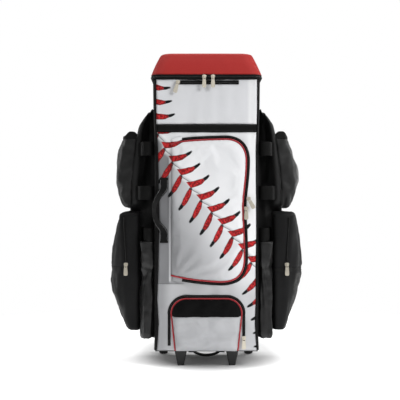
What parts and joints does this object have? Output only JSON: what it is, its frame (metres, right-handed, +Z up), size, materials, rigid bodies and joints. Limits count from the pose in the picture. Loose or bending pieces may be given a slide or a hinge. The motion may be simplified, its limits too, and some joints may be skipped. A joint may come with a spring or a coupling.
{
  "type": "rolling bat bag",
  "caption": "Upright wheeled sports bag with a moulded lid, printed front, zipped pockets, bat loops and cups at the sides, and a pull-out handle.",
  "frame": {"origin": "on the floor, under the middle of the bag's bounding box", "axes": "+Z up, the printed front faces -Y, +X to the viewer's right"},
  "size_m": [0.562, 0.3175, 0.8898],
  "materials": {
    "black_fabric": "matte woven polyester",
    "black_webbing": "matte webbing",
    "black_mesh": "matte knitted mesh",
    "printed_fabric": "satin coated polyester with a red and black lacing print",
    "red_welt": "satin",
    "red_lid": "fine grained",
    "zip_tape": "matte with moulded teeth",
    "nickel": "brushed nickel",
    "black_plastic": "satin",
    "hub_plastic": "satin",
    "tyre_rubber": "matte",
    "tube_aluminium": "satin anodised",
    "axle_steel": "bright"
  },
  "bodies": {
    "bag": {"tower_shell": "black_fabric", "front_panel_upper": "printed_fabric", "mid_band": "black_webbing", "front_panel_lower": "printed_fabric", "edge_piping_left": "black_webbing", "edge_piping_right": "black_webbing", "top_zip": "zip_tape", "lid": "red_lid", "upper_zip": "zip_tape", "front_pocket": "printed_fabric", "front_pocket_piping": "red_welt", "front_pocket_zip": "zip_tape", "lower_pocket_yoke": "black_fabric", "lower_pocket_panel": "printed_fabric", "lower_pocket_piping": "red_welt", "lower_pocket_zip": "zip_tape", "wing_left": "black_fabric", "wing_right": "black_fabric", "bat_loop_left_1": "black_webbing", "bat_loop_left_2": "black_webbing", "bat_loop_left_3": "black_webbing", "bat_loop_right_1": "black_webbing", "bat_loop_right_2": "black_webbing", "bat_loop_right_3": "black_webbing", "bat_cup_left": "black_fabric", "bat_cup_right": "black_fabric", "bottle_pocket_left": "black_mesh", "bottle_pocket_right": "black_mesh", "bottle_hem_left": "black_webbing", "bottle_hem_right": "black_webbing", "side_pocket_left": "black_fabric", "side_pocket_right": "black_fabric", "side_zip_left": "zip_tape", "side_zip_right": "zip_tape", "grab_handle": "black_webbing", "base_handle": "black_webbing", "front_foot_left": "black_plastic", "front_foot_right": "black_plastic", "base_tray": "black_plastic", "axle_left": "axle_steel", "axle_right": "axle_steel", "trolley_tube_left": "tube_aluminium", "trolley_tube_right": "tube_aluminium", "trolley_bezel": "black_plastic", "zip_pull_top_left": "nickel", "zip_pull_top_right": "nickel", "zip_pull_upper": "nickel", "zip_pull_front_upper": "nickel", "zip_pull_front_lower": "nickel", "zip_pull_lower": "nickel", "zip_pull_side_left": "nickel", "zip_pull_side_right": "nickel"},
    "wheel_left": {"wheel_hub_left": "hub_plastic", "wheel_tyre_left": "tyre_rubber"},
    "wheel_right": {"wheel_hub_right": "hub_plastic", "wheel_tyre_right": "tyre_rubber"},
    "handle": {"handle_tube_left": "tube_aluminium", "handle_tube_right": "tube_aluminium", "handle_grip": "black_plastic"},
    "button": {"handle_button": "hub_plastic"}
  },
  "joints": [
    {"name": "wheel_left_spin", "type": "hinge", "parent": "bag", "child": "wheel_left", "pos_m": [-0.13, 0.115, 0.042], "axis": [1, 0, 0], "continuous": true},
    {"name": "wheel_right_spin", "type": "hinge", "parent": "bag", "child": "wheel_right", "pos_m": [0.13, 0.115, 0.042], "axis": [1, 0, 0], "continuous": true},
    {"name": "handle_slide", "type": "slide", "parent": "bag", "child": "handle", "axis": [0, 0, 1], "range_m": [0, 0.3]},
    {"name": "button_press", "type": "slide", "parent": "handle", "child": "button", "axis": [0, 0, -1], "range_m": [0, 0.002], "stiffness_N_per_m": 600}
  ]
}
